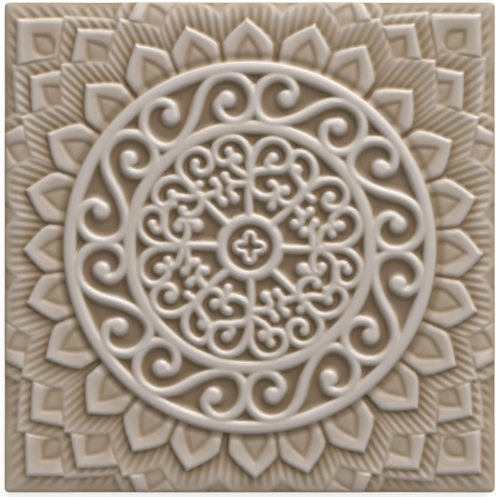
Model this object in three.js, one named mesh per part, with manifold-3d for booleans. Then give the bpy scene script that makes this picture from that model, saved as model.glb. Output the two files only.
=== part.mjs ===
// A square relief wall tile with a moulded mandala under one glaze: a quatrefoil inside a small ring,
// a rosette of scrolls on eight spokes, a band of running S scrolls between two rings, and rows of
// lotus petals that run out under the tile's edges.
// Millimetres. The tile lies on its back, +Z up, with the origin at the middle of its back face.

import * as THREE from 'three';
import * as BufferGeometryUtils from 'three/addons/utils/BufferGeometryUtils.js';
import Module from 'manifold-3d';

// The tile's body
const tileSize = 148;
const floorHeight = 6.8; // back face to the floor between the scrolls
const cornerRadius = 1.4;
const edgeRound = 1.2;

// The moulded lines, measured up from the floor
const strokeHeight = 2.3;
const strokeWidth = 1.9; // across the top of a scroll
const draft = 0.45; // how far each side spreads from the top of a line to its foot
const rootDepth = 0.5; // how far a line runs on down into the body

// The rings, by inner radius and width
const centralRingRadius = 7.2;
const centralRingWidth = 2.8;
const middleRingRadius = 34.7;
const middleRingWidth = 3.4;
const outerRingRadius = 52.7;
const outerRingWidth = 3.5;

// The quatrefoil in the central ring: one wavy line round a hollow
const quatrefoilRadius = 3.45; // middle of the line, between its lobes and its waists
const quatrefoilWave = 0.85; // how far a lobe reaches past that radius
const quatrefoilWidth = 1.5;

// The petals, by distance out from the outer ring, and their heights below the top of the lines
const petalTipLow = 0.45; // the top of the first row of petals below the top of the lines
const rowDrop = 0.42; // each pair of rows lies this much deeper than the pair inside it
const leafDrop = 0.7; // a hatched leaf lies this much below the petal that it frames
const petalGap = 0.4; // groove between neighbours in one row
const pocketDepth = 0.6; // the sunk arch inside a plain petal
const petalRim = 3.6; // solid rim between a petal's flank and its sunk arch
const petalTipRim = 5.0; // between their tips

// The first row's directions, in degrees from +X: its petals were laid out by eye. The rows behind
// them are evenly spaced.
const firstAngles = [
  -1.7, 12.7, 27.7, 43.6, 59.2, 73.0, 90.1, 106.0, 119.4, 134.8, 150.6, 165.0,
  180.7, 194.1, 208.6, 225.0, 239.9, 253.8, 271.3, 284.8, 299.0, 315.9, 329.6, 344.1,
];
const petalPitch = 360 / firstAngles.length;
const evenAngles = firstAngles.map((_, i) => i * petalPitch);
const betweenAngles = evenAngles.map((angle) => angle + petalPitch / 2);
const petalRows = [
  { shoulder: 6.6, tip: 14.0, angles: firstAngles },
  { shoulder: 21.4, tip: 27.8, angles: betweenAngles },
  { shoulder: 34.0, tip: 41.4, angles: evenAngles },
];
const leafRows = [
  { shoulder: 15.2, tip: 23.1, angles: evenAngles },
  { shoulder: 28.0, tip: 34.4, angles: betweenAngles },
];

// The handles of a petal's arch, as shares of its reach and of its half width
const shoulderHandle = { reach: 0.45, width: 0.98 };
const tipHandle = { reach: 0.62, width: 0.42 };

// How finely curves are cut
const petalCuts = 2;
const pocketCuts = 1;
const knobCuts = 5; // chords round a knob
const ringSides = 48;
const smallRingSides = 32;
const quatrefoilSides = 24;
const smallestCorner = 0.05;

// The lines were drawn over the photograph, in its pixels from the pattern's middle, with y up.
// A point keeps its share of the way between two rings when a ring is resized.
const photoCentralRing = 33.3; // outer edge
const photoMiddleRing = [114.9, 126.2]; // inner and outer edge
const photoOuterRing = 174.6; // inner edge

// Running S scrolls: one for each eighth of the band, from knob to knob
const bandRepeats = 8;
const scrollLine = {
  startKnob: 2.4,
  endKnob: 2.2,
  points: [
    [147, 23.5], [143, 33], [135, 33], [129, 25], [128.5, 14], [135, 4.5], [145, -1.5],
    [156, 0.5], [165, 8], [170, 19.5], [168, 31], [160, 43], [148, 50.5], [132, 56],
    [116, 62], [105, 71.5], [101, 83], [105, 95], [114.5, 103.5], [127.5, 106],
    [140, 102.5], [147.5, 93], [147, 82], [139, 76.5], [131, 79.5],
  ],
};

// Rosette lines of one half; the other half is the same, turned half a turn
const rosetteRepeats = 2;
const rosetteLines = [
  // First eighth: two outer scrolls on their spokes, a cross of four hooks and two small knobs
  { endKnob: 1.9, points: [[20, 21], [38, 37], [56, 56], [64, 62], [73, 66.5], [83, 67],
    [92, 63], [97, 54], [95.5, 44.5], [88, 38.5], [79, 39.5], [75, 46], [79.5, 49.5]] },
  { endKnob: 1.2, points: [[55, 53], [61.5, 48]] },
  { endKnob: 1.4, points: [[44, 41], [50, 33.5], [60, 35.8]] },
  { endKnob: 1.5, points: [[48, 36], [51, 25], [45, 23.5]] },
  { endKnob: 1.5, points: [[63, 0], [62.5, 9], [60.5, 17], [65, 24.3]] },
  { endKnob: 1.6, points: [[61, 16], [54, 15]] },
  { points: [[67.5, 0], [70, 12], [76, 19.5], [84, 21]] },
  { endKnob: 1.3, points: [[79, 20], [82, 13]] },
  { endKnob: 1.7, points: [[29, -0.5], [60, -0.5], [78, -1], [90, 0.5], [102, 6.5], [109, 16],
    [109, 27], [101, 36], [91, 36.5], [83, 29], [84, 21], [90, 21.5]] },
  // Second eighth: two outer scrolls over an upturned heart with a bud
  { endKnob: 1.8, points: [[56, 57], [61, 63], [65, 72], [64, 83], [56, 92.5], [47, 94],
    [40.5, 86], [46.5, 77]] },
  { points: [[55, 57], [50, 64], [43, 75]] },
  { endKnob: 1.7, points: [[-0.5, 29], [-1.5, 55], [0, 72], [1, 84], [6, 96.5], [15, 105.5],
    [26, 107.5], [36, 102], [40.5, 91], [36, 80], [26, 77], [18.5, 81], [23, 89]] },
  { points: [[0, 70], [8, 75.5], [22, 77.5]] },
  { endKnob: 1.3, points: [[0, 63], [4, 55.5], [13, 50.5], [23, 51.5], [26.5, 58], [22, 63.5]] },
  { endKnob: 1.7, points: [[53, 60], [50.5, 50], [42, 43], [32, 44.5], [28, 52], [35, 56.5]] },
  { endKnob: 1.4, points: [[25, 51], [22, 41]] },
  // Third eighth: like the first
  { endKnob: 1.4, points: [[-20, 20.5], [-42, 42], [-57, 58], [-64, 66], [-71, 76], [-69.5, 88],
    [-61, 96], [-50, 97.5], [-41, 91], [-39.5, 80], [-49, 74], [-56, 78], [-54.5, 84]] },
  { endKnob: 1.3, points: [[-54, 54.5], [-50.5, 62.5]] },
  { endKnob: 1.5, points: [[-47, 49], [-40, 52], [-32, 55.5], [-36, 65.5]] },
  { endKnob: 1.5, points: [[-32, 55], [-27, 45.5]] },
  { endKnob: 1.7, points: [[0, 61], [-9, 62.5], [-19.5, 60.5], [-15, 50]] },
  { endKnob: 1.5, points: [[-17, 63], [-25, 71]] },
  { endKnob: 1.8, points: [[0, 69], [-12, 75.5], [-19, 84], [-13, 88]] },
  { endKnob: 1.4, points: [[0, 80], [0, 91], [-5, 103], [-15, 109.5], [-26, 108], [-34.5, 100],
    [-33.5, 88], [-24, 83.5], [-19, 89], [-21, 96]] },
  // Last eighth: like the second
  { endKnob: 1.5, points: [[-54, 52], [-64, 63.5], [-72, 68.5], [-83, 67], [-93, 59.5],
    [-95.5, 49], [-89, 41], [-80, 43], [-78, 53]] },
  { points: [[-54, 51], [-65, 49], [-77, 49]] },
  { endKnob: 1.6, points: [[-50, 52], [-49, 42], [-56, 33], [-65, 31.5], [-67, 37]] },
  { endKnob: 1.7, points: [[-74, -1], [-64, 4], [-59.5, 15], [-63, 25.5], [-71.5, 21]] },
  { points: [[-76, 43], [-84, 37], [-86, 24], [-81, 9], [-71, 0]] },
  { endKnob: 1.5, points: [[-62, 26], [-52.5, 22.5]] },
  { endKnob: 1.5, points: [[-76, -1], [-88, 0.5], [-101, 6], [-110, 17], [-110, 29], [-101, 38],
    [-91, 37], [-86, 29], [-88, 19], [-97, 23]] },
];

const strokeTop = floorHeight + strokeHeight;
const centralRingEdge = centralRingRadius + centralRingWidth;
const middleRingEdge = middleRingRadius + middleRingWidth;
const outerRingEdge = outerRingRadius + outerRingWidth;

const wasm = await Module();
wasm.setup();

// A closed geometry as a manifold-3d solid
function solid(geometry) {
  geometry.deleteAttribute('normal');
  geometry.deleteAttribute('uv');
  const merged = BufferGeometryUtils.mergeVertices(geometry, 1e-5);
  const vertProperties = new Float32Array(merged.attributes.position.array);
  const triVerts = new Uint32Array(merged.index.array);
  return new wasm.Manifold(new wasm.Mesh({ numProp: 3, vertProperties, triVerts }));
}

function joined(solids) {
  return solids.reduce((whole, next) => whole.add(next));
}

// A shape drawn at the top of the relief, widened by the draft on its way down to its root, which
// lies inside the body
function drafted(shape, foot, top) {
  const root = foot - rootDepth;
  const geometry = new THREE.ExtrudeGeometry(shape, {
    depth: rootDepth,
    bevelEnabled: true,
    bevelThickness: top - root,
    bevelSize: draft,
    bevelSegments: 1,
    curveSegments: petalCuts,
  });
  geometry.translate(0, 0, root - rootDepth);
  return solid(geometry);
}

// A shape with upright walls
function upright(shape, foot, top, cuts) {
  const geometry = new THREE.ExtrudeGeometry(shape, {
    depth: top - foot,
    bevelEnabled: false,
    curveSegments: cuts,
  });
  geometry.translate(0, 0, foot);
  return solid(geometry);
}

// A turned ring with the same draft, from its closed profile
function ring(inner, width, top, sides) {
  const foot = floorHeight - rootDepth;
  const profile = [
    [inner, top], [inner - draft, foot], [inner + width + draft, foot], [inner + width, top],
    [inner, top],
  ];
  const geometry = new THREE.LatheGeometry(profile.map(([r, z]) => new THREE.Vector2(r, z)), sides);
  geometry.rotateX(Math.PI / 2);
  return solid(geometry);
}

// The radius here of a radius in the photograph, in straight steps from ring edge to ring edge
function radiusHere(pixels) {
  const steps = [
    [0, 0], [photoCentralRing, centralRingEdge], [photoMiddleRing[0], middleRingRadius],
    [photoMiddleRing[1], middleRingEdge], [photoOuterRing, outerRingRadius],
  ];
  const upper = Math.max(1, steps.findIndex(([from]) => from >= pixels));
  const [fromPixels, from] = steps[upper - 1];
  const [toPixels, to] = steps[upper];
  return from + ((pixels - fromPixels) / (toPixels - fromPixels)) * (to - from);
}

function place([x, y]) {
  const scale = radiusHere(Math.hypot(x, y)) / Math.hypot(x, y);
  return new THREE.Vector2(x * scale, y * scale);
}

// Points round a line's knob, from its left side over its far end to its right side
function knobArc({ at, along, radius }) {
  const half = strokeWidth / 2;
  const neck = Math.PI - Math.asin(Math.min(1, half / radius));
  const heading = Math.atan2(along.y, along.x);
  return Array.from({ length: knobCuts + 1 }, (_, i) => {
    const angle = heading + neck * (1 - (2 * i) / knobCuts);
    return new THREE.Vector2(at.x + radius * Math.cos(angle), at.y + radius * Math.sin(angle));
  });
}

// A line of even width along a smooth curve through its points, with a round knob at an end
// that has one. Points of the line's sides that would fall inside a knob are left out.
function ribbon({ points, startKnob, endKnob }) {
  const through = points.map(place).map((p) => new THREE.Vector3(p.x, p.y, 0));
  const curve = new THREE.CatmullRomCurve3(through, false, 'centripetal');
  const last = points.length - 1;
  const knobs = [
    { at: curve.getPoint(0), along: curve.getTangent(0).negate(), radius: startKnob ?? 0 },
    { at: curve.getPoint(1), along: curve.getTangent(1), radius: endKnob ?? 0 },
  ];
  const side = (sign) => {
    const offset = (sign * strokeWidth) / 2;
    return through
      .map((at, i) => [at, curve.getTangent(i / last)])
      .map(([at, along]) => new THREE.Vector2(at.x - along.y * offset, at.y + along.x * offset))
      .filter((p) => knobs.every((knob) => Math.hypot(p.x - knob.at.x, p.y - knob.at.y) > knob.radius));
  };
  const [startArc, endArc] = knobs.map((knob) => (knob.radius ? knobArc(knob) : []));
  return new THREE.Shape([...startArc, ...side(1), ...endArc, ...side(-1).reverse()]);
}

function strokes(lines) {
  return lines.map((line) => drafted(ribbon(line), floorHeight, strokeTop));
}

// Copies of a solid turned round the pattern's middle
function turned(part, copies) {
  return joined(Array.from({ length: copies }, (_, i) => part.rotate([0, 0, (i * 360) / copies])));
}

// The wavy line round the middle: its radius swells four times a turn
function quatrefoil() {
  const outline = (offset) => Array.from({ length: quatrefoilSides }, (_, i) => {
    const angle = (i / quatrefoilSides) * 2 * Math.PI;
    const radius = quatrefoilRadius + offset + quatrefoilWave * Math.cos(4 * angle);
    return new THREE.Vector2(radius * Math.cos(angle), radius * Math.sin(angle));
  });
  const shape = new THREE.Shape(outline(quatrefoilWidth / 2));
  shape.holes.push(new THREE.Path(outline(-quatrefoilWidth / 2)));
  return drafted(shape, floorHeight, strokeTop);
}

// A petal's outline along +X: straight flanks up to its shoulders, then an arch to a pointed tip
function petalShape(from, shoulder, tip, halfWidth) {
  const [nearX, farX] = [shoulderHandle, tipHandle].map(({ reach }) => shoulder + reach * (tip - shoulder));
  const [nearY, farY] = [shoulderHandle, tipHandle].map(({ width }) => width * halfWidth);
  const shape = new THREE.Shape();
  shape.moveTo(from, -halfWidth);
  shape.lineTo(shoulder, -halfWidth);
  shape.bezierCurveTo(nearX, -nearY, farX, -farY, tip, 0);
  shape.bezierCurveTo(farX, farY, nearX, nearY, shoulder, halfWidth);
  shape.lineTo(from, halfWidth);
  return shape;
}

// One row of petals or leaves, all of one height, with a sunk arch in each petal
function petalRow({ shoulder, tip, angles }, top, isPlain) {
  const foot = floorHeight - rootDepth;
  const shoulderRadius = outerRingEdge + shoulder;
  const tipRadius = outerRingEdge + tip;
  const gap = isPlain ? petalGap : 0;
  const halfWidth = shoulderRadius * Math.tan(THREE.MathUtils.degToRad(petalPitch / 2)) - gap / 2;
  const outline = petalShape(outerRingRadius, shoulderRadius, tipRadius, halfWidth);
  let petal = upright(outline, foot, top, petalCuts);
  if (isPlain) {
    const inner = petalShape(
      outerRingRadius, shoulderRadius - petalRim / 2, tipRadius - petalTipRim, halfWidth - petalRim);
    petal = petal.subtract(upright(inner, top - pocketDepth, top + pocketDepth, pocketCuts));
  }
  return angles
    .filter((angle) => {
      const radians = THREE.MathUtils.degToRad(angle);
      const reach = Math.max(Math.abs(Math.cos(radians)), Math.abs(Math.sin(radians)));
      return shoulderRadius * reach < tileSize / 2;
    })
    .map((angle) => petal.rotate([0, 0, angle]));
}

// The glazed square that everything stays inside, its upper edge rounded over
function envelope(top) {
  const half = tileSize / 2 - edgeRound;
  const corner = Math.max(cornerRadius - edgeRound, smallestCorner);
  const shape = new THREE.Shape();
  shape.moveTo(-half + corner, -half);
  shape.lineTo(half - corner, -half);
  shape.absarc(half - corner, -half + corner, corner, -Math.PI / 2, 0);
  shape.lineTo(half, half - corner);
  shape.absarc(half - corner, half - corner, corner, 0, Math.PI / 2);
  shape.lineTo(-half + corner, half);
  shape.absarc(-half + corner, half - corner, corner, Math.PI / 2, Math.PI);
  shape.lineTo(-half, -half + corner);
  shape.absarc(-half + corner, -half + corner, corner, Math.PI, 1.5 * Math.PI);
  const geometry = new THREE.ExtrudeGeometry(shape, {
    depth: top, bevelEnabled: true, bevelThickness: edgeRound, bevelSize: edgeRound,
    bevelSegments: 1, curveSegments: 2,
  });
  geometry.translate(0, 0, -edgeRound);
  return solid(geometry);
}

// A square a little larger than the tile, which the envelope trims
function slab(top) {
  const geometry = new THREE.BoxGeometry(tileSize + edgeRound, tileSize + edgeRound, top);
  geometry.translate(0, 0, top / 2);
  return solid(geometry);
}

// The ground of the petal field lies above the floor of the scroll band
const petalTop = strokeTop - petalTipLow;
const groundTop = petalTop - leafDrop - 2 * rowDrop;

// The petals on their ground, cut away inside the outer ring
function field() {
  const petals = petalRows.flatMap((row, i) => petalRow(row, petalTop - i * rowDrop, true));
  const leaves = leafRows.flatMap((row, i) => petalRow(row, petalTop - leafDrop - i * rowDrop, false));
  const inside = new THREE.CylinderGeometry(outerRingRadius, outerRingRadius, tileSize, ringSides);
  inside.rotateX(Math.PI / 2);
  return joined([slab(groundTop), ...leaves, ...petals]).subtract(solid(inside));
}

function tile() {
  const rings = [
    ring(centralRingRadius, centralRingWidth, strokeTop, smallRingSides),
    ring(middleRingRadius, middleRingWidth, strokeTop, ringSides),
    ring(outerRingRadius, outerRingWidth, strokeTop, ringSides),
  ];
  const band = turned(joined(strokes([scrollLine])), bandRepeats);
  const rosette = turned(joined(strokes(rosetteLines)), rosetteRepeats);
  return joined([slab(floorHeight), field(), quatrefoil(), rosette, band, ...rings])
    .intersect(envelope(strokeTop));
}

function toGeometry(manifold) {
  const mesh = manifold.getMesh();
  const geometry = new THREE.BufferGeometry();
  geometry.setAttribute('position', new THREE.BufferAttribute(mesh.vertProperties, 3));
  geometry.setIndex(new THREE.BufferAttribute(mesh.triVerts, 1));
  geometry.computeVertexNormals();
  return geometry;
}

const glazedClay = new THREE.MeshStandardMaterial({ color: 0xa89786, roughness: 0.2, metalness: 0 });
const tileMesh = new THREE.Mesh(toGeometry(tile()), glazedClay);
tileMesh.name = 'tile';

const part = new THREE.Group();
part.add(tileMesh);

export default part;
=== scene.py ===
# A square wall tile with a moulded mandala under one glossy glaze, lying on its back and seen from
# straight above. The relief is worked out in millimetres from the pattern's middle, with +Y up in the
# photograph and +Z out of the relief, and the scene is in metres.
import math

import bpy
import numpy as np
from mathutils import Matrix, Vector


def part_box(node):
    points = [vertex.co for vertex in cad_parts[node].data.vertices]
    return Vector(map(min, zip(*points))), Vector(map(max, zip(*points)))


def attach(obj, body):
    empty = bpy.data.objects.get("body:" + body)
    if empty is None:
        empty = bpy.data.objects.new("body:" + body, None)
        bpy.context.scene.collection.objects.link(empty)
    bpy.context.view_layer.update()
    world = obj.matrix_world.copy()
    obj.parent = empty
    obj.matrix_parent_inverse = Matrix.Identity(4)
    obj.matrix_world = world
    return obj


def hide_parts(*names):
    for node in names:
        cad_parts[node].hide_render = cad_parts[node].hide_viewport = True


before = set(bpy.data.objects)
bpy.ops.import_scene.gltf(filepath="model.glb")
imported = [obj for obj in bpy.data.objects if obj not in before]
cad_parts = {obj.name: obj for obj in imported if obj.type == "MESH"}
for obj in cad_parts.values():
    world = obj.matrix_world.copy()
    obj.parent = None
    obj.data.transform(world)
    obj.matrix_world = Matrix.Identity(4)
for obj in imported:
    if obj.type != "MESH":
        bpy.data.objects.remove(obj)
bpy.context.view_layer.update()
mm = 0.001
photo = {
    "width": 500,  # pixels
    "height": 497,
    "tileSpan": 490.6,  # the tile's side
    "patternMiddle": (249.75, 247.35),
}
tileLow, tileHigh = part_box("tile")
tileSize = (tileHigh.x - tileLow.x) / mm
tileHeight = (tileHigh.z - tileLow.z) / mm
px = tileSize / photo["tileSpan"]  # millimetres for each pixel of the photograph


# Curves and grids

def smoothMax(first, second, reach):
    # the larger of the two, plus (reach - |difference|)^2 / 4 reach where they are closer than reach, so
    # that they run together without a crease
    closeness = np.maximum(reach - np.abs(first - second), 0)
    return np.maximum(first, second) + closeness ** 2 / (4 * reach)


def smoothStep(share):
    # 3 t^2 - 2 t^3, held at 0 and 1 outside the step
    t = np.clip(share, 0, 1)
    return t * t * (3 - 2 * t)


def softened(field, sigma):
    # a Gaussian blur along the columns and then the rows, sigma in grid steps, cut off at three sigma;
    # the field's outermost values go on past its edges
    reach = int(math.ceil(3 * sigma))
    offsets = np.arange(-reach, reach + 1)
    weights = np.exp(-offsets ** 2 / (2 * sigma ** 2))
    weights /= weights.sum()
    for axis in (0, 1):
        margins = [(0, 0), (0, 0)]
        margins[axis] = (reach, reach)
        padded = np.pad(field, margins, mode="edge")
        steps = np.arange(field.shape[axis])
        shifted = (np.take(padded, steps + i, axis) for i in range(len(weights)))
        field = sum(weight * copy for weight, copy in zip(weights, shifted))
    return field


def smoothPath(points, steps=6):
    # a centripetal Catmull-Rom curve through the points, each chord cut in so many steps: from p1 to p2
    # the knots are the running sums of the square roots of the chords, and the place is blended three
    # times from straight lines between the knots
    chain = np.array(points, float)
    chain = np.vstack([2 * chain[0] - chain[1], chain, 2 * chain[-1] - chain[-2]])
    p0, p1, p2, p3 = (chain[i:len(chain) - 3 + i, None] for i in range(4))
    chords = ((p0, p1), (p1, p2), (p2, p3))
    spans = [np.sqrt(np.linalg.norm(to - at, axis=-1, keepdims=True)) for at, to in chords]
    k1, k2, k3 = spans[0], spans[0] + spans[1], sum(spans)
    u = k1 + (k2 - k1) * np.linspace(0, 1, steps, endpoint=False)[None, :, None]
    a1 = ((k1 - u) * p0 + u * p1) / k1
    a2 = ((k2 - u) * p1 + (u - k1) * p2) / (k2 - k1)
    a3 = ((k3 - u) * p2 + (u - k2) * p3) / (k3 - k2)
    b1 = ((k2 - u) * a1 + u * a2) / k2
    b2 = ((k3 - u) * a2 + (u - k1) * a3) / (k3 - k1)
    curve = ((k2 - u) * b1 + (u - k1) * b2) / (k2 - k1)
    return np.vstack([curve.reshape(-1, 2), chain[-2]])


def turnedBy(points, degrees):
    # each point turned round the middle: x cos - y sin, x sin + y cos
    cos, sin = math.cos(math.radians(degrees)), math.sin(math.radians(degrees))
    return points @ np.array([[cos, sin], [-sin, cos]])


def distanceTo(path, x, y):
    # the least distance from each place to the path's straight steps, where the nearest point of a step
    # is its start plus the step times the place's share of the way along it, held between 0 and 1
    start, step = path[:-1], np.diff(path, axis=0)
    toX, toY = x[..., None] - start[:, 0], y[..., None] - start[:, 1]
    share = np.clip((toX * step[:, 0] + toY * step[:, 1]) / (step ** 2).sum(1), 0, 1)
    return np.hypot(toX - share * step[:, 0], toY - share * step[:, 1]).min(-1)


class ReliefGrid:
    # Square grid of places over the tile, in millimetres
    hair = 0.001  # of a cell: how far short of the last line a place is read

    def __init__(self, half, step):
        self.half = half
        self.count = int(round(2 * half / step)) + 1
        self.axis = np.linspace(-half, half, self.count)
        self.step = self.axis[1] - self.axis[0]
        self.x, self.y = np.meshgrid(self.axis, self.axis)
        self.r = np.hypot(self.x, self.y)

    def window(self, low, high):
        # the rows and columns between two corners
        columns = slice(*np.searchsorted(self.axis, (low[0], high[0])))
        rows = slice(*np.searchsorted(self.axis, (low[1], high[1])))
        return rows, columns

    def sampled(self, field, x, y):
        # the four corners of a place's cell, each weighted by how near the place lies to it
        last = self.count - 1 - self.hair
        across = np.clip((x + self.half) / self.step, 0, last)
        up = np.clip((y + self.half) / self.step, 0, last)
        i, j = across.astype(int), up.astype(int)
        u, v = across - i, up - j
        lower = (1 - u) * field[j, i] + u * field[j, i + 1]
        upper = (1 - u) * field[j + 1, i] + u * field[j + 1, i + 1]
        return (1 - v) * lower + v * upper


gridStep = 0.25  # millimetres, about five sixths of a pixel
grid = ReliefGrid(tileSize / 2, gridStep)

# Moulded lines: rings, scrolls, rosette and quatrefoil
lines = {
    "floor": 6.8,  # back face to the ground between the lines
    "top": 8.96,  # back face to the crown
    "footOutside": 5.0,  # how low the outer ring's outer side goes
    "shoulder": 1.1,  # from half height up to the crown
    "foot": 1.5,  # and out to the ground
    "dome": 0.28,  # share of the height in the rounding of the crown
    "domeReach": 2.1,  # from half height in to the crown's flat
    "blend": 0.7,  # how far two lines run together
    "bandHalfWidth": 6.15 * px,  # at half height
    "rosetteHalfWidth": 5.45 * px,
    "rings": [  # inner and outer radius
        (21.7 * px, 35.0 * px),
        (112.4 * px, 128.3 * px),
        (172.1 * px, 188.4 * px),
    ],
    "foilRadius": 10.9 * px,  # middle of the quatrefoil's line, between its lobes and its waists
    "foilWave": 3.5 * px,  # how far a lobe reaches past that radius
    "foilHalfWidth": 4.4 * px,
}

# Points drawn over the photograph, in its pixels from the pattern's middle, with y up; knob radii in
# millimetres
scroll = {
    "repeats": 8,
    "startKnob": 2.85,
    "endKnob": 2.95,
    "points": [
        (147.8, 23), (145.5, 29), (140.5, 31.5), (134.5, 30), (129, 25.5), (125.8, 19), (125.5, 12),
        (129, 4.5), (135.5, -0.8), (143, -3.2), (151, -3), (158.5, -0.3), (165, 4.5), (170, 11.5),
        (172.2, 20), (171.3, 29), (167.5, 37.5), (160, 44.5), (150, 49.7), (140, 52.8), (130, 55.8),
        (120, 60), (110.5, 65.5), (103.5, 72), (99.8, 80), (100.3, 88.5), (104.5, 96.5), (111, 102.5),
        (119, 105.9), (127.5, 106.4), (136, 104), (142, 99), (145, 92), (144.8, 85.5), (142.5, 79.8),
        (138, 76.8), (131, 78.8),
    ],
}
rosetteRepeats = 2
rosette = [  # the radius of the knob at a line's end, or 0, and its points
    # spokes
    (0, [(31, -1), (47, -1.8), (60, -1.8), (75, -1.2), (88, 0)]),
    (0, [(22, 23), (38, 37), (56, 57)]),
    (0, [(-0.5, 31), (-1.5, 55), (0, 74), (0, 84)]),
    (0, [(-23, 23.5), (-42, 42), (-57, 58)]),
    # first eighth: two outer scrolls on their spokes, a cross of four hooks and two small knobs
    (2.3, [(56, 57), (64, 62), (72, 66), (80, 67), (88, 65.5), (94, 60.5), (97, 53), (95.5, 45),
           (90.5, 39.5), (83, 38.5), (77, 41), (75, 46), (79.5, 49.5)]),
    (1.4, [(55, 53), (59, 50), (62, 47.7)]),
    (1.7, [(44, 41), (49, 35), (55, 32), (60, 35.8)]),
    (1.8, [(48, 36), (51.5, 28), (49, 22.5), (45, 23.5)]),
    (1.8, [(63, 0), (62.5, 9), (60.5, 17), (65, 24.3)]),
    (1.9, [(61, 16), (54, 15)]),
    (0, [(67.5, 0), (69.5, 10), (73, 17), (79, 20), (84, 21)]),
    (1.6, [(79, 20), (82, 13)]),
    (2.0, [(78, -2), (88, 0), (97, 3), (104.5, 8.5), (109, 16), (109.5, 24), (106, 32), (99, 37),
           (91, 36.5), (85, 32), (82, 26), (84, 21), (90, 21.5)]),
    # second eighth: two outer scrolls over an upturned heart with a bud
    (2.2, [(56, 57), (61, 63), (64.5, 70), (65, 78), (62, 87), (56, 92.5), (49, 94.5), (43, 91),
           (40.5, 85), (42, 79), (46.5, 77)]),
    (0, [(55, 57), (51, 63), (47, 69), (43, 75)]),
    (2.0, [(0, 72), (1, 82), (3.5, 91), (8, 99.5), (15, 105.5), (23.5, 107.5), (32, 105), (38, 99),
           (40.5, 91), (39, 84), (34, 78.5), (27, 77), (20, 79), (18, 84), (23, 89)]),
    (0, [(0, 70), (6, 75), (14, 76.5), (22, 77.5)]),
    (1.6, [(0, 63), (3, 56.5), (9, 52), (16, 50), (23, 51.5), (26.5, 56), (25.5, 61), (22, 63.5)]),
    (2.0, [(53, 60), (51.5, 53), (48, 47), (41, 43), (34, 43.5), (29, 47.5), (28, 53), (35, 56.5)]),
    (1.7, [(25, 51), (23, 46), (22, 41)]),
    # third eighth: like the first
    (1.7, [(-57, 58), (-63, 65), (-69, 72), (-71.5, 80), (-69, 88.5), (-62, 95), (-53, 97.5), (-45, 95),
           (-40, 89), (-39, 81), (-43, 75.5), (-49.5, 74), (-55, 78), (-54.5, 84)]),
    (1.6, [(-56, 57), (-50.5, 62.5)]),
    (1.8, [(-47, 49), (-40, 52), (-33, 54.5), (-31, 60), (-36, 65.5)]),
    (1.8, [(-32, 55), (-31, 50), (-27, 45.5)]),
    (2.0, [(0, 64), (-9, 63.5), (-16.5, 62.5), (-20.5, 57), (-15.5, 49)]),
    (1.8, [(-17, 63), (-22, 66), (-25, 71)]),
    (2.2, [(0, 69), (-9, 74), (-15, 78), (-19, 84), (-13, 88)]),
    (1.7, [(0, 80), (0, 90), (-3, 100), (-9, 107), (-17, 109.5), (-26, 108), (-33, 102.5), (-35.5, 95),
           (-33.5, 88), (-28, 84), (-22, 85), (-19, 90), (-21, 96)]),
    # last eighth: like the second
    (1.8, [(-57, 58), (-63, 64.5), (-70, 68), (-78, 68.5), (-87, 65.5), (-93, 59.5), (-95.5, 51.5),
           (-93, 44.5), (-87, 40.5), (-81, 43), (-77, 48), (-78, 53)]),
    (0, [(-54, 51), (-62, 49), (-70, 50), (-77, 49)]),
    (1.9, [(-50, 52), (-48.5, 43), (-52, 36), (-58, 32), (-65, 32), (-67, 37)]),
    (2.0, [(-75, 2), (-67, 4.5), (-63.3, 10), (-62.5, 17), (-64, 23.5), (-68.5, 26), (-72, 20)]),
    (0, [(-76, 43), (-82, 40), (-85.3, 33), (-86, 25), (-84.5, 16.5), (-80.5, 10), (-75, 6), (-68, 2)]),
    (2.4, [(-62, 26), (-57, 24.5), (-53.5, 22)]),
    (1.8, [(-76, -1), (-86, 0.5), (-96, 3), (-105, 9), (-110, 17), (-110.5, 26), (-106.5, 34),
           (-99, 38.5), (-91, 37), (-86.5, 31), (-86, 23), (-89, 18), (-94, 17), (-97.5, 23)]),
]


def addLine(depth, path, halfWidth, startKnob=0, endKnob=0):
    # how far a place lies inside the line: its half width less its distance to the path, or a knob's
    # radius less the distance to the path's end, whichever is more; joined to what is there already
    reach = max(halfWidth, startKnob, endKnob) + lines["foot"] + lines["blend"]
    at = grid.window(path.min(0) - reach, path.max(0) + reach)
    x, y = grid.x[at], grid.y[at]
    inside = halfWidth - distanceTo(path, x, y)
    for knob, (knobX, knobY) in ((startKnob, path[0]), (endKnob, path[-1])):
        if knob:
            inside = smoothMax(inside, knob - np.hypot(x - knobX, y - knobY), lines["blend"])
    depth[at] = smoothMax(depth[at], inside, lines["blend"])


def quatrefoilPath(steps=120):
    # a closed wavy circle: at angle a its radius is foilRadius + foilWave cos 4a
    angle = np.linspace(0, 2 * math.pi, steps + 1)
    radius = lines["foilRadius"] + lines["foilWave"] * np.cos(4 * angle)
    return np.stack([radius * np.cos(angle), radius * np.sin(angle)], 1)


def linesDepth():
    # how far each place of the grid lies inside the lines, less than 0 outside them; inside a ring it is
    # half the ring's width less the distance to its middle circle
    depth = np.full(grid.x.shape, -tileSize)
    for inner, outer in lines["rings"]:
        ringDepth = (outer - inner) / 2 - np.abs(grid.r - (inner + outer) / 2)
        depth = smoothMax(depth, ringDepth, lines["blend"])
    path = smoothPath(np.array(scroll["points"]) * px)
    for i in range(scroll["repeats"]):
        turned = turnedBy(path, i * 360 / scroll["repeats"])
        addLine(depth, turned, lines["bandHalfWidth"], scroll["startKnob"], scroll["endKnob"])
    for endKnob, points in rosette:
        path = smoothPath(np.array(points) * px)
        for i in range(rosetteRepeats):
            turned = turnedBy(path, i * 360 / rosetteRepeats)
            addLine(depth, turned, lines["rosetteHalfWidth"], 0, endKnob)
    addLine(depth, quatrefoilPath(), lines["foilHalfWidth"])
    return depth


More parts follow.
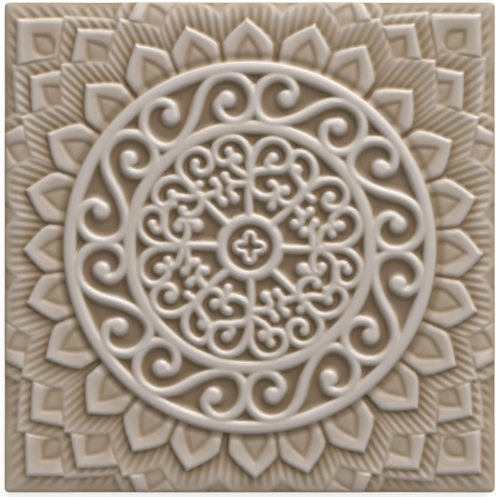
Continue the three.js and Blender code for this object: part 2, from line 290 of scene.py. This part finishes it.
def linesHeight(depth, ground):
    # half a parabola from the ground to half height, half a smooth step on to the shoulder, and a
    # parabola over it that rounds the crown
    foot = 0.5 * (1 - np.clip(-depth / lines["foot"], 0, 1)) ** 2
    flank = np.where(depth < 0, foot, smoothStep(0.5 + depth / (2 * lines["shoulder"])))
    crown = 1 - (1 - np.clip(depth / lines["domeReach"], 0, 1)) ** 2
    return ground + (lines["top"] - ground) * ((1 - lines["dome"]) * flank + lines["dome"] * crown)


outerRing = lines["rings"][-1]
outside = grid.r > sum(outerRing) / 2
linesTop = linesHeight(linesDepth(), np.where(outside, lines["footOutside"], lines["floor"]))
print("moulded lines worked out")

# Petals and hatched leaves round the outer ring
petals = {
    "ground": 6.9,  # between the petals, where any of it shows
    "rim": 0.34,  # how far the raised rim falls off behind a petal's edge
    "rimWidth": 1.5,
    "droop": 0.85,  # how far a petal sinks on its way to its root
    "droopReach": 9.0,
    "droopMost": 1.2,  # times the droop, which it keeps past that
    "nose": 3.0,  # how round the sinking is at the tip
    "edge": 1.7,  # width of the rounded edge
    "edgeDrop": 0.55,
    "archDepth": 0.4,  # the groove along a petal's arch
    "archHalfWidth": 0.72,
    "archSunk": 0.18,  # how much deeper the middle of the arch lies
    "hatchPitch": 1.97,  # degrees
    "hatchSwing": 0.22,  # how much wider it is along the axes, and narrower on the diagonals
    "hatchDepth": 0.26,
    "hatchBare": 0.5,  # smooth strip along the tile's sides
    "hatchFade": 2.4,  # how far in from the tile's sides the hatch reaches its depth
    "trough": 0.4,  # the groove round the foot of the outer ring
    "troughRadius": 190.5 * px,
    "troughHalfWidth": 4.0 * px,
    "outlineBlend": 0.8,  # how softly a petal comes up over what lies outside it
    "sideBlend": 0.5,  # and meets its neighbours
    "reach": 18,  # half the side of the square that a petal is laid in
    "middleBack": 0.7,  # share of it from the petal's tip back to the square's middle
}

# The first row was laid out one by one, so each petal's tip has its own direction in degrees and radius
# in pixels
firstTips = [
    (-1.7, 233), (12.4, 231.6), (27.7, 228.6), (43.9, 225.8), (60.2, 232.5), (73.8, 232), (90.6, 229),
    (106.0, 229.6), (119.4, 233), (135.3, 231), (150.7, 232.4), (165.7, 231), (180.7, 226.7),
    (194.1, 230), (208.6, 232.8), (225.6, 232.8), (240.2, 236), (254.2, 232.4), (271.3, 231.4),
    (284.4, 233.8), (299.0, 235.3), (316.1, 233), (330, 238.2), (344.2, 236),
]
tipPitch = 360 / len(firstTips)


def evenTips(radius, turned, nudged=()):
    # a tip at each pitch, and half a pitch further on where the row is turned; a nudged tip takes the
    # place of the nearest even one
    start = tipPitch / 2 if turned else 0
    tips = [(tipPitch * i + start, radius) for i in range(len(firstTips))]
    for tip in nudged:
        nearest = min(range(len(tips)), key=lambda i: abs(tips[i][0] - tip[0]))
        tips[nearest] = tip
    return tips


# The further rows are even, but for the tips that stand free in the corners
cornerTips = {
    "second": [
        (29.5, 263), (45.2, 263), (60.4, 263), (119.8, 263), (135.9, 263), (150.4, 263),
        (209.5, 263), (225, 263), (241, 263), (299.8, 263), (315, 263), (329.8, 263),
    ],
    "third": [
        (39.2, 276), (53.6, 277), (128.3, 278), (142.2, 278), (218.3, 279.4), (231.9, 281),
        (307.1, 279.4), (322.8, 279.4),
    ],
    "fourth": [
        (38.6, 303), (52.8, 295.5), (128.9, 297), (142.8, 299.4), (218.3, 298), (231.3, 297),
        (308, 298), (322.1, 297),
    ],
    "fifth": [(45.2, 328), (135.6, 325.6), (225.6, 320), (315.6, 323)],
}

# From the outermost row in: length from tip to shoulder, half width there and the arch's sizes in
# pixels, top in millimetres. Rows with an arch are plain petals, and the others are hatched leaves.
petalRows = [
    {
        "tips": evenTips(356, False),
        "length": 34, "half": 37, "bulge": 0.1, "top": 7.85,
        "arch": None,
    },
    {
        "tips": cornerTips["fifth"],
        "length": 34, "half": 35, "bulge": 0.1, "top": 8.05,
        "arch": {"inset": 24, "length": 12, "half": 9.0, "bulge": 0.75},
    },
    {
        "tips": evenTips(299, True, cornerTips["fourth"]),
        "length": 34, "half": 37, "bulge": 0.1, "top": 7.6,
        "arch": None,
    },
    {
        "tips": evenTips(279, True, cornerTips["third"]),
        "length": 32, "half": 35, "bulge": 0.25, "top": 8.2,
        "arch": {"inset": 17, "length": 15, "half": 10.0, "bulge": 0.65},
    },
    {
        "tips": evenTips(263, False, cornerTips["second"]),
        "length": 30, "half": 33, "bulge": 0.3, "top": 7.95,
        "arch": None,
    },
    {
        "tips": firstTips,
        "length": 27, "half": 26.5, "bulge": 0.5, "top": 8.65,
        "arch": {"inset": 18.2, "length": 19.5, "half": 10.8, "bulge": 0.6},
    },
]


def archInside(back, across, length, half, bulge, root, nose=0.0):
    # how far a place lies inside a pointed arch whose half width, so far back from its tip, is
    # half * ((1 - bulge) * share + bulge * sin(pi / 2 * share)), where share is back / length; past that
    # a spreading root grows on with its straight part, a straight one keeps its half width, and a
    # closing one runs in as half an ellipse of the same length. A nose rounds the fold along the middle.
    share = np.clip(back / length, 0, 1)
    past = back / length - 1
    straight = np.maximum(back / length, 0) if root == "spreading" else share
    width = half * ((1 - bulge) * straight + bulge * np.sin(math.pi / 2 * share))
    if root == "closing":
        width = width * np.sqrt(1 - np.clip(past, 0, 1) ** 2)
    lean = math.hypot(1, half / length)
    inside = (width - np.sqrt(across ** 2 + nose ** 2) + nose) / lean
    if root == "closing":
        inside = np.where(past > 1, -np.hypot(back - 2 * length, across), inside)
    return np.where(back < 0, -np.hypot(back, across), inside)


def petalHeight(row, direction, back, across, swing, fade):
    # from the top of the row: less the sinking towards the root, the fall behind the rim and the
    # rounded edge, and less the hatch's cosine or the arch's Gaussian groove; the hatch is a cosine of
    # the angle round the pattern's middle, and fades towards the tile's sides
    root = "straight" if row["arch"] else "spreading"
    shape = [row["length"] * px, row["half"] * px, row["bulge"], root]
    outline = archInside(back, across, *shape)
    deep = archInside(back, across, *shape, petals["nose"])
    height = row["top"] - petals["droop"] * np.clip(deep / petals["droopReach"], 0, petals["droopMost"])
    height -= petals["rim"] * (1 - np.exp(-np.clip(deep, 0, None) / petals["rimWidth"]))
    height -= petals["edgeDrop"] * (1 - np.clip(outline / petals["edge"], 0, 1)) ** 2
    if row["arch"] is None:
        pitch = petals["hatchPitch"] + petals["hatchSwing"] * math.cos(math.radians(4 * direction))
        hatch = 0.5 + 0.5 * np.cos(2 * math.pi * swing / pitch)
        height -= petals["hatchDepth"] * hatch * smoothStep(outline / petals["edge"]) * fade
    else:
        arch = row["arch"]
        length, half, inset = arch["length"] * px, arch["half"] * px, arch["inset"] * px
        inner = archInside(back - inset, across, length, half, arch["bulge"], "closing")
        height -= petals["archDepth"] * np.exp(-(inner / petals["archHalfWidth"]) ** 2)
        height -= petals["archSunk"] * smoothStep(inner)
    return height, outline


def layPetal(ground, fade, row, tip, before, after):
    # one petal over the ground: height * mask + ground * (1 - mask), where the mask rises from 0 to 1
    # across the petal's outline and across the lines halfway to the directions before and after it
    direction, radius = tip[0], tip[1] * px
    cos, sin = math.cos(math.radians(direction)), math.sin(math.radians(direction))
    back = petals["reach"] * petals["middleBack"]
    middle = np.array([cos, sin]) * (radius - back)
    if np.abs(middle).max() > grid.half + back:
        return
    at = grid.window(middle - petals["reach"], middle + petals["reach"])
    x, y = grid.x[at], grid.y[at]
    along, across = x * cos + y * sin, y * cos - x * sin
    swing = np.degrees(np.arctan2(across, along))
    height, outline = petalHeight(row, direction, radius - along, across, swing, fade[at])
    room = np.minimum((after - direction) / 2 - swing, swing + (direction - before) / 2)
    side = grid.r[at] * np.sin(np.radians(room))
    if row["arch"]:
        height -= petals["edgeDrop"] * (1 - np.clip(side / petals["edge"], 0, 1)) ** 2
    mask = smoothStep(outline / petals["outlineBlend"] + 0.5)
    mask = mask * smoothStep(side / petals["sideBlend"] + 0.5)
    ground[at] = ground[at] * (1 - mask) + height * mask


def petalGround():
    # the ground with each row laid over the row outside it, less a Gaussian trough round the ring
    ground = np.full(grid.x.shape, petals["ground"])
    fromBare = grid.half - petals["hatchBare"] - np.maximum(np.abs(grid.x), np.abs(grid.y))
    fade = smoothStep(fromBare / petals["hatchFade"])
    for row in petalRows:
        directions = [direction for direction, radius in row["tips"]]
        following = directions[1:] + [directions[0] + 360]
        previous = [directions[-1] - 360] + directions[:-1]
        for tip, before, after in zip(row["tips"], previous, following):
            layPetal(ground, fade, row, tip, before, after)
    trough = np.exp(-((grid.r - petals["troughRadius"]) / petals["troughHalfWidth"]) ** 2)
    return ground - petals["trough"] * trough


# The whole face, with the tile's rounded border and the softness of the glaze
face = {
    "meet": 0.15,  # how far lines and ground run together
    "softness": 0.22,  # how far the glaze blurs the relief
    "cornerRadius": 1.4,
    "sag": 1.0,  # how far the outermost petals sink towards the tile's sides
    "sagWidth": 5.5,
    "edge": 4.4,  # width of the rounded border
    "edgeHeight": 6.3,  # where the sides end
    "edgeRise": 1.9,  # from there to the inner side of the border
    "edgeBlend": 0.4,
    "below": 0.01,  # what the face keeps from the tile's full height
    "within": 0.005,  # and the sides from its full width
}


def roundedSquare(half, radius):
    # the grid drawn in at its corners: in each corner's square, of side r, a place (a, b) goes to
    # (a sqrt(1 - b^2 / 2r^2), b sqrt(1 - a^2 / 2r^2)), which turns the square's outline into an arc
    a = np.maximum(np.abs(grid.x) - (half - radius), 0)
    b = np.maximum(np.abs(grid.y) - (half - radius), 0)
    x = grid.x - np.sign(grid.x) * a * (1 - np.sqrt(1 - b ** 2 / (2 * radius ** 2)))
    y = grid.y - np.sign(grid.y) * b * (1 - np.sqrt(1 - a ** 2 / (2 * radius ** 2)))
    return x, y


def insetFrom(x, y, half, radius):
    # distance in from the outline: to the nearer side, or in a corner to its arc
    a, b = np.abs(x) - (half - radius), np.abs(y) - (half - radius)
    toSide = np.minimum(half - np.abs(x), half - np.abs(y))
    return np.where((a > 0) & (b > 0), radius - np.hypot(a, b), toSide)


def borderHeight(inset):
    # as high as the rounded border lets the face be: edgeHeight at the tile's sides, more by edgeRise
    # along half a parabola over the border's width, and more by a millimetre for each one further in
    share = np.clip(inset / face["edge"], 0, 1)
    rounded = face["edgeHeight"] + face["edgeRise"] * (1 - (1 - share) ** 2)
    return rounded + np.maximum(inset - face["edge"], 0)


faceX, faceY = roundedSquare(grid.half, face["cornerRadius"])
inset = insetFrom(faceX, faceY, grid.half, face["cornerRadius"])
# The higher of lines and ground, blurred, and then the lower of that and the border
sag = face["sag"] * (1 - np.clip(inset / face["sagWidth"], 0, 1)) ** 2
base = np.where(outside, petalGround() - sag, lines["floor"])
faceZ = softened(smoothMax(linesTop, base, face["meet"]), face["softness"] / grid.step)
faceZ = -smoothMax(-faceZ, -borderHeight(inset), face["edgeBlend"])
faceZ = np.minimum(faceZ, tileHeight - face["below"])
print("face worked out, from", round(faceZ.min(), 2), "to", round(faceZ.max(), 2), "mm")

# How much glaze has run to a place
pooling = {
    "level": 0.45,  # on even ground, where 0 is the thinnest glaze and 1 the thickest
    "near": 0.5,  # for each millimetre that the place lies below its close surroundings
    "nearReach": 1.0,
    "far": 0.42,  # and below its wider ones
    "farReach": 3.2,
    "farCells": 2,  # the wider ones are read at every second row and column
    "petals": 0.13,  # more outside the outer ring
    "sides": 0.35,
}


def pooledGlaze():
    # level + petals * (1 outside the outer ring) + near and far times how far a place lies below a
    # narrow and a wide Gaussian mean of its surroundings, held between 0 and 1
    cells = pooling["farCells"]
    near = softened(faceZ, pooling["nearReach"] / grid.step) - faceZ
    wide = softened(faceZ[::cells, ::cells], pooling["farReach"] / grid.step / cells)
    far = np.repeat(np.repeat(wide, cells, 0), cells, 1)[:grid.count, :grid.count] - faceZ
    petalField = smoothStep((grid.r - outerRing[1]) / pooling["farReach"])
    even = pooling["level"] + pooling["petals"] * petalField
    return np.clip(even + pooling["near"] * near + pooling["far"] * far, 0, 1)


pool = pooledGlaze()
print("glaze pooled, mean", round(pool.mean(), 3))

# The closed mesh: the face, the sides down to the back's bevelled edge, and the back
shell = {
    "rings": [(0.0, 4.0), (0.0, 1.0), (0.12, 0.3), (0.4, 0.0), (8.0, 0.0)],  # inwards and height, mm
    "faceAbove": 5.0,  # points higher than this lie on the face
    "backBelow": 0.001,  # and lower than this on the flat back
    "triangles": 190000,
}


def faceTriangles(index):
    # two triangles for each cell of the face, their diagonal turned from cell to cell
    corners = (index[:-1, :-1], index[:-1, 1:], index[1:, 1:], index[1:, :-1])
    quads = np.stack(corners, -1).reshape(-1, 4)
    cells = np.arange(grid.count - 1)
    even = (np.add.outer(cells, cells) % 2 == 0).reshape(-1)
    first, second = quads[even], quads[~even]
    return [first[:, [0, 1, 2]], first[:, [0, 2, 3]], second[:, [0, 1, 3]], second[:, [1, 2, 3]]]


def closedTile():
    # the face; below it rings of its outline, each scaled by 1 - inwards / half the tile and lowered to
    # its height, with two triangles from point to point; and a fan over the middle of the back
    index = np.arange(grid.count ** 2).reshape(grid.count, grid.count)
    tris = faceTriangles(index)
    loop = np.concatenate([index[0, :-1], index[:-1, -1], index[-1, :0:-1], index[:0:-1, 0]])
    keep = 1 - face["within"] / grid.half
    verts = [np.stack([faceX * keep, faceY * keep, faceZ], -1).reshape(-1, 3)]
    upper, following = loop, grid.count ** 2
    for inward, z in shell["rings"]:
        ring = verts[0][loop] * (1 - inward / grid.half)
        ring[:, 2] = z
        verts.append(ring)
        lower = following + np.arange(len(loop))
        following += len(loop)
        nextUpper, nextLower = np.roll(upper, -1), np.roll(lower, -1)
        tris += [np.stack([upper, lower, nextUpper], 1), np.stack([nextUpper, lower, nextLower], 1)]
        upper = lower
    verts.append(np.zeros((1, 3)))
    tris.append(np.stack([upper, np.full(len(loop), following), np.roll(upper, -1)], 1))
    return np.vstack(verts), np.vstack(tris)


def meshOf(name, verts, tris):
    # a mesh from arrays of places and of three place numbers to a triangle
    mesh = bpy.data.meshes.new(name)
    mesh.vertices.add(len(verts))
    mesh.vertices.foreach_set("co", verts.astype(np.float32).ravel())
    mesh.loops.add(len(tris) * 3)
    mesh.loops.foreach_set("vertex_index", tris.astype(np.int32).ravel())
    mesh.polygons.add(len(tris))
    mesh.polygons.foreach_set("loop_start", np.arange(0, len(tris) * 3, 3, dtype=np.int32))
    mesh.update(calc_edges=True)
    mesh.validate()
    return mesh


def thinned(mesh, triangles):
    # the same surface in fewer triangles, taken out where it is flattest
    dense = bpy.data.objects.new("dense", mesh)
    bpy.context.collection.objects.link(dense)
    thinner = dense.modifiers.new("thinner", "DECIMATE")
    thinner.ratio = triangles / len(mesh.polygons)
    done = bpy.data.meshes.new_from_object(dense.evaluated_get(bpy.context.evaluated_depsgraph_get()))
    bpy.data.objects.remove(dense)
    return done


def placesOf(mesh):
    # the mesh's points in millimetres
    places = np.empty(len(mesh.vertices) * 3, np.float32)
    mesh.vertices.foreach_get("co", places)
    return places.reshape(-1, 3) / mm


def shade(mesh):
    # smooth, but for the faces whose corners all lie on the flat back
    corners = np.empty(len(mesh.loops), np.int32)
    mesh.loops.foreach_get("vertex_index", corners)
    heights = placesOf(mesh)[corners, 2].reshape(-1, 3)
    mesh.polygons.foreach_set("use_smooth", (heights > shell["backBelow"]).any(1))


def addPool(mesh):
    # the pooled glaze at each point of the face, and an even coat on the sides
    x, y, z = placesOf(mesh).T
    values = np.where(z > shell["faceAbove"], grid.sampled(pool, x, y), pooling["sides"])
    mesh.attributes.new("pool", "FLOAT", "POINT").data.foreach_set("value", values.astype(np.float32))


tileVerts, tileTris = closedTile()
tileMesh = thinned(meshOf("glazedTile", tileVerts * mm, tileTris), shell["triangles"])
addPool(tileMesh)
shade(tileMesh)
glazedTile = bpy.data.objects.new("glazedTile", tileMesh)
bpy.context.collection.objects.link(glazedTile)
print("tile meshed,", len(tileTris), "triangles thinned to", len(tileMesh.polygons))


# Materials

class Socket:
    # A node's output, so that shader maths reads as Python
    def __init__(self, nodes, output):
        self.nodes = nodes
        self.output = output

    def maths(self, operation, first, second):
        # a Math node on two sockets, or on a socket and a number
        return self.nodes.node("ShaderNodeMath", {"operation": operation}, {0: first, 1: second})

    def __add__(self, other):
        return self.maths("ADD", self, other)

    def __radd__(self, other):
        return self.maths("ADD", other, self)

    def __sub__(self, other):
        return self.maths("SUBTRACT", self, other)

    def __rsub__(self, other):
        return self.maths("SUBTRACT", other, self)

    def __mul__(self, other):
        return self.maths("MULTIPLY", self, other)

    def __rmul__(self, other):
        return self.maths("MULTIPLY", other, self)

    def held(self):
        # kept between 0 and 1
        return self.nodes.node("ShaderNodeClamp", {}, {"Value": self})


class Nodes:
    # A node tree, emptied and built up again
    def __init__(self, tree):
        self.tree = tree
        self.tree.nodes.clear()

    def node(self, kind, settings, values, output=0):
        # a node of one type: its settings first, then its sockets' values or links; gives one output
        node = self.tree.nodes.new(kind)
        for name, value in settings.items():
            if name == "ramp":
                self.fillRamp(node.color_ramp.elements, value)
            else:
                setattr(node, name, value)
        for name, value in values.items():
            if isinstance(value, Socket):
                self.tree.links.new(value.output, node.inputs[name])
            else:
                node.inputs[name].default_value = value
        return Socket(self, node.outputs[output]) if node.outputs else None

    def fillRamp(self, elements, stops):
        # as many stops as the ramp needs, the new ones halfway along until each is put in its place
        halfway = 0.5
        while len(elements) < len(stops):
            elements.new(halfway)
        for element, (position, colour) in zip(elements, stops):
            element.position = position
            element.color = (*colour, 1)


class Finish(Nodes):
    # A material and its nodes
    def __init__(self, name):
        self.material = bpy.data.materials.new(name)
        self.material.use_nodes = True
        super().__init__(self.material.node_tree)

    def surface(self, shader):
        # the material with this shader as its surface
        self.node("ShaderNodeOutputMaterial", {}, {"Surface": shader})
        return self.material


glaze = {
    "ramp": [  # from the thinnest glaze to the thickest
        (0.00, (0.305, 0.272, 0.250)),
        (0.30, (0.290, 0.250, 0.219)),
        (0.52, (0.235, 0.186, 0.140)),
        (0.75, (0.172, 0.119, 0.066)),
        (1.00, (0.120, 0.076, 0.036)),
    ],
    "mottle": {"Scale": 90.0, "Detail": 3.0},
    "mottleShare": 0.12,  # how much the mottle shifts the ramp
    "wave": {"Scale": 260.0, "Detail": 2.0},
    "waveBump": {"Strength": 0.12, "Distance": 0.0004},
    "roughness": 0.3,
    "pooledRoughness": 0.34,  # more where the glaze is thickest
    "coat": 0.34,  # where the glaze is thinnest
    "coatRoughness": 0.2,
    "line": 0.0042,  # metres up the sides, below which the clay is bare
    "lineWander": 0.0012,
    "wander": {"Scale": 60.0, "Detail": 2.0},
    "lineSoftness": 0.0003,
}
clay = {
    "ramp": [(0.30, (0.40, 0.29, 0.20)), (0.55, (0.46, 0.34, 0.24)), (0.80, (0.51, 0.40, 0.29))],
    "speckle": {"Scale": 240.0, "Detail": 6.0},
    "grain": {"Scale": 900.0, "Detail": 4.0},
    "grainBump": {"Strength": 0.35, "Distance": 0.0003},
    "roughness": 0.85,
}


def glazeShader(f, place):
    # coloured by the pooled glaze plus a little mottle, a noise round 0.5; rougher and with less coat
    # where it pools
    pooled = f.node("ShaderNodeAttribute", {"attribute_name": "pool"}, {}, "Fac")
    mottle = f.node("ShaderNodeTexNoise", {}, {"Vector": place, **glaze["mottle"]})
    depth = pooled + (mottle - 0.5) * glaze["mottleShare"]
    colour = f.node("ShaderNodeValToRGB", {"ramp": glaze["ramp"]}, {"Fac": depth})
    wave = f.node("ShaderNodeTexNoise", {}, {"Vector": place, **glaze["wave"]})
    bump = f.node("ShaderNodeBump", {}, {"Height": wave, **glaze["waveBump"]})
    return f.node("ShaderNodeBsdfPrincipled", {}, {
        "Base Color": colour,
        "Roughness": pooled * glaze["pooledRoughness"] + glaze["roughness"],
        "Coat Weight": (1 - pooled) * glaze["coat"],
        "Coat Roughness": glaze["coatRoughness"],
        "Normal": bump,
    })


def clayShader(f, place):
    # speckled in colour and grainy to the touch
    speckle = f.node("ShaderNodeTexNoise", {}, {"Vector": place, **clay["speckle"]})
    colour = f.node("ShaderNodeValToRGB", {"ramp": clay["ramp"]}, {"Fac": speckle})
    grain = f.node("ShaderNodeTexNoise", {}, {"Vector": place, **clay["grain"]})
    bump = f.node("ShaderNodeBump", {}, {"Height": grain, **clay["grainBump"]})
    return f.node("ShaderNodeBsdfPrincipled", {}, {
        "Base Color": colour,
        "Roughness": clay["roughness"],
        "Normal": bump,
    })


def tileMaterial():
    # glaze over the face and down the sides to an uneven line, bare clay below it: the share of glaze is
    # the height above the line over its softness, held between 0 and 1
    f = Finish("warmGreyGlaze")
    place = f.node("ShaderNodeTexCoord", {}, {}, "Object")
    up = f.node("ShaderNodeSeparateXYZ", {}, {"Vector": place}, "Z")
    wander = f.node("ShaderNodeTexNoise", {}, {"Vector": place, **glaze["wander"]})
    above = up - (glaze["line"] - glaze["lineWander"] / 2) - wander * glaze["lineWander"]
    glazed = (above * (1 / glaze["lineSoftness"])).held()
    bare, covered = clayShader(f, place), glazeShader(f, place)
    return f.surface(f.node("ShaderNodeMixShader", {}, {0: glazed, 1: bare, 2: covered}))


tileMesh.materials.append(tileMaterial())
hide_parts("tile")
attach(glazedTile, "root")
print("tile glazed")

# Floor, lights and camera
studio = {
    "floorSize": 1.6,
    "floorBelow": 0.0002,  # the tile's back
    "paper": (0.36, 0.36, 0.358, 1),
    "paperRoughness": 0.9,
    "glow": (1, 1, 0.995, 1),
    "paperGlow": 0.68,  # the white ground glows of itself: painted light that fills in the tile's shadow on it
    "softboxes": [  # metres and watts
        {"name": "windowLight", "place": (0.35, 0.75, 1.95), "size": (1.3, 0.9), "watts": 17.0},
        {"name": "skyLight", "place": (0.7, 1.2, 0.8), "size": (1.8, 1.1), "watts": 21.0},
        {"name": "lowWindow", "place": (0.15, 1.6, 0.45), "size": (2.6, 0.6), "watts": 38.0},
    ],
    "worldStrength": 0.60,
    "worldColour": (1, 0.99, 0.975, 1),
    "worldLean": (0.45, 0.12, 0.0),  # how much brighter the sky is towards the photograph's right and top
    "lens": 200,
    "sensor": 36,
    "clipStart": 0.01,
    "focusHeight": 0.0068,  # where a pixel of the photograph has its size
}


def paperFloor():
    # one square just below the tile, with a glow of its own: painted light that washes out the tile's
    # shadow on it
    half = studio["floorSize"] / 2
    corners = [(-half, -half, 0), (half, -half, 0), (half, half, 0), (-half, half, 0)]
    mesh = bpy.data.meshes.new("floor")
    mesh.from_pydata(corners, [], [(0, 1, 2, 3)])
    f = Finish("palePaper")
    paper = f.node("ShaderNodeBsdfPrincipled", {}, {
        "Base Color": studio["paper"],
        "Roughness": studio["paperRoughness"],
        "Emission Color": studio["glow"],
        "Emission Strength": studio["paperGlow"],
    })
    mesh.materials.append(f.surface(paper))
    floor = bpy.data.objects.new("floor", mesh)
    floor.location.z = -studio["floorBelow"]
    bpy.context.collection.objects.link(floor)


def softbox(name, place, size, watts):
    # a lamp behind a rectangle, turned towards the tile's middle
    lamp = bpy.data.lights.new(name, "AREA")
    lamp.shape = "RECTANGLE"
    lamp.size, lamp.size_y = size
    lamp.energy = watts
    box = bpy.data.objects.new(name, lamp)
    box.location = place
    box.rotation_euler = (-Vector(place)).to_track_quat("-Z", "Y").to_euler()
    bpy.context.collection.objects.link(box)


def softSky():
    # worldStrength * (1 + the direction's dot product with worldLean)
    world = bpy.data.worlds.new("studio")
    world.use_nodes = True
    sky = Nodes(world.node_tree)
    direction = sky.node("ShaderNodeTexCoord", {}, {}, "Generated")
    towards = {0: direction, 1: studio["worldLean"]}
    lean = sky.node("ShaderNodeVectorMath", {"operation": "DOT_PRODUCT"}, towards, "Value")
    strength = (1 + lean) * studio["worldStrength"]
    light = {"Color": studio["worldColour"], "Strength": strength}
    background = sky.node("ShaderNodeBackground", {}, light)
    sky.node("ShaderNodeOutputWorld", {}, {"Surface": background})
    bpy.context.scene.world = world


def cameraAbove():
    # straight down, from where the photograph's width fits the lens at the relief's height
    lens = bpy.data.cameras.new("camera")
    lens.lens = studio["lens"]
    lens.sensor_width = studio["sensor"]
    lens.clip_start = studio["clipStart"]
    camera = bpy.data.objects.new("camera", lens)
    seen = photo["width"] * px * mm
    aside = (photo["width"] / 2 - photo["patternMiddle"][0]) * px * mm
    up = (photo["patternMiddle"][1] - photo["height"] / 2) * px * mm
    camera.location = (aside, up, studio["focusHeight"] + seen * studio["lens"] / studio["sensor"])
    bpy.context.collection.objects.link(camera)
    bpy.context.scene.camera = camera


paperFloor()
for settings in studio["softboxes"]:
    softbox(**settings)
softSky()
cameraAbove()
bpy.context.scene.view_settings.view_transform = "Standard"
print("studio set")
